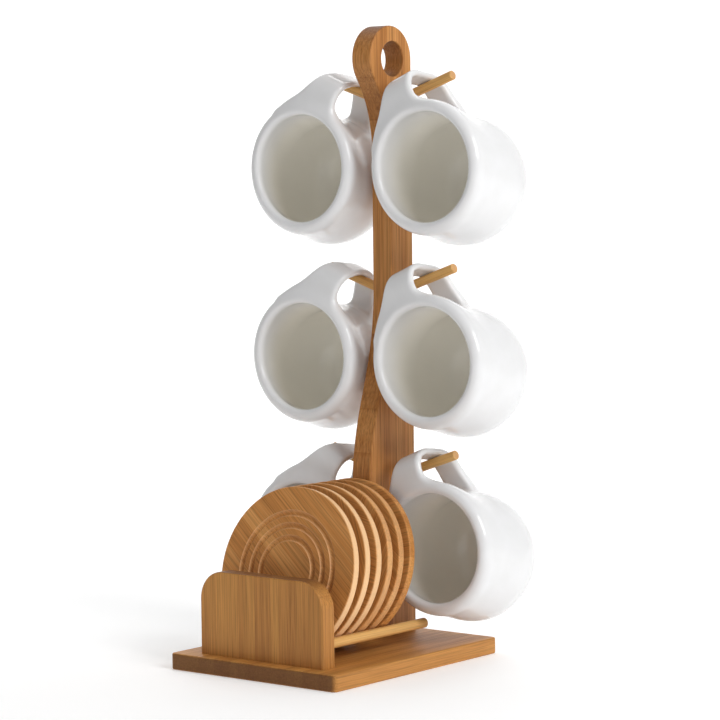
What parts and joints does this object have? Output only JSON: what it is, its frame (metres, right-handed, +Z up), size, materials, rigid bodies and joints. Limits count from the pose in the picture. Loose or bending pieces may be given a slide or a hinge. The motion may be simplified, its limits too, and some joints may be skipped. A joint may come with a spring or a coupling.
{
  "type": "mug tree",
  "caption": "Standing bamboo mug tree: flat base, shaped post with tilted pegs holding white teardrop mugs by their handles, and a low rack of round coasters in front.",
  "frame": {"origin": "centre of the base board underside", "axes": "+Z up along the post, -Y to the front panel, +X to the right seen from the front"},
  "size_m": [0.1916, 0.174, 0.3865],
  "materials": {
    "bamboo_board": "satin clear lacquer",
    "bamboo_post": "satin clear lacquer",
    "bamboo_dowel": "sanded",
    "bamboo_coaster": "satin clear lacquer",
    "white_glaze": "gloss glaze",
    "screw_steel": "zinc plated"
  },
  "bodies": {
    "rack": {"base_board": "bamboo_board", "front_panel": "bamboo_board", "post": "bamboo_post", "peg_lower_left": "bamboo_dowel", "peg_middle_left": "bamboo_dowel", "peg_upper_left": "bamboo_dowel", "peg_lower_right": "bamboo_dowel", "peg_middle_right": "bamboo_dowel", "peg_upper_right": "bamboo_dowel", "rail_left": "bamboo_dowel", "rail_right": "bamboo_dowel", "post_screw_front": "screw_steel", "post_screw_rear": "screw_steel", "panel_screw_left": "screw_steel", "panel_screw_right": "screw_steel"},
    "mug_lower_left": {"mug_lower_left": "white_glaze"},
    "mug_middle_left": {"mug_middle_left": "white_glaze"},
    "mug_upper_left": {"mug_upper_left": "white_glaze"},
    "mug_lower_right": {"mug_lower_right": "white_glaze"},
    "mug_middle_right": {"mug_middle_right": "white_glaze"},
    "mug_upper_right": {"mug_upper_right": "white_glaze"},
    "coaster_1": {"coaster_1": "bamboo_coaster"},
    "coaster_2": {"coaster_2": "bamboo_coaster"},
    "coaster_3": {"coaster_3": "bamboo_coaster"},
    "coaster_4": {"coaster_4": "bamboo_coaster"},
    "coaster_5": {"coaster_5": "bamboo_coaster"},
    "coaster_6": {"coaster_6": "bamboo_coaster"}
  },
  "joints": [
    {"name": "mug_lower_left_lift_off", "type": "slide", "parent": "rack", "child": "mug_lower_left", "axis": [-0.9455, 0, 0.3256], "range_m": [0, 0.026]},
    {"name": "mug_middle_left_lift_off", "type": "slide", "parent": "rack", "child": "mug_middle_left", "axis": [-0.9455, 0, 0.3256], "range_m": [0, 0.045]},
    {"name": "mug_upper_left_lift_off", "type": "slide", "parent": "rack", "child": "mug_upper_left", "axis": [-0.9455, 0, 0.3256], "range_m": [0, 0.045]},
    {"name": "mug_lower_right_lift_off", "type": "slide", "parent": "rack", "child": "mug_lower_right", "axis": [0.9455, 0, 0.3256], "range_m": [0, 0.022]},
    {"name": "mug_middle_right_lift_off", "type": "slide", "parent": "rack", "child": "mug_middle_right", "axis": [0.9455, 0, 0.3256], "range_m": [0, 0.045]},
    {"name": "mug_upper_right_lift_off", "type": "slide", "parent": "rack", "child": "mug_upper_right", "axis": [0.9455, 0, 0.3256], "range_m": [0, 0.045]},
    {"name": "coaster_1_lift_out", "type": "slide", "parent": "rack", "child": "coaster_1", "axis": [0, 0.2079, 0.9781], "range_m": [0, 0.11]},
    {"name": "coaster_2_lift_out", "type": "slide", "parent": "rack", "child": "coaster_2", "axis": [0, 0.2079, 0.9781], "range_m": [0, 0.11]},
    {"name": "coaster_3_lift_out", "type": "slide", "parent": "rack", "child": "coaster_3", "axis": [0, 0.2079, 0.9781], "range_m": [0, 0.11]},
    {"name": "coaster_4_lift_out", "type": "slide", "parent": "rack", "child": "coaster_4", "axis": [0, 0.2079, 0.9781], "range_m": [0, 0.11]},
    {"name": "coaster_5_lift_out", "type": "slide", "parent": "rack", "child": "coaster_5", "axis": [0, 0.1908, 0.9816], "range_m": [0, 0.065]},
    {"name": "coaster_6_lift_out", "type": "slide", "parent": "rack", "child": "coaster_6", "axis": [0, 0.1564, 0.9877], "range_m": [0, 0.042]}
  ]
}
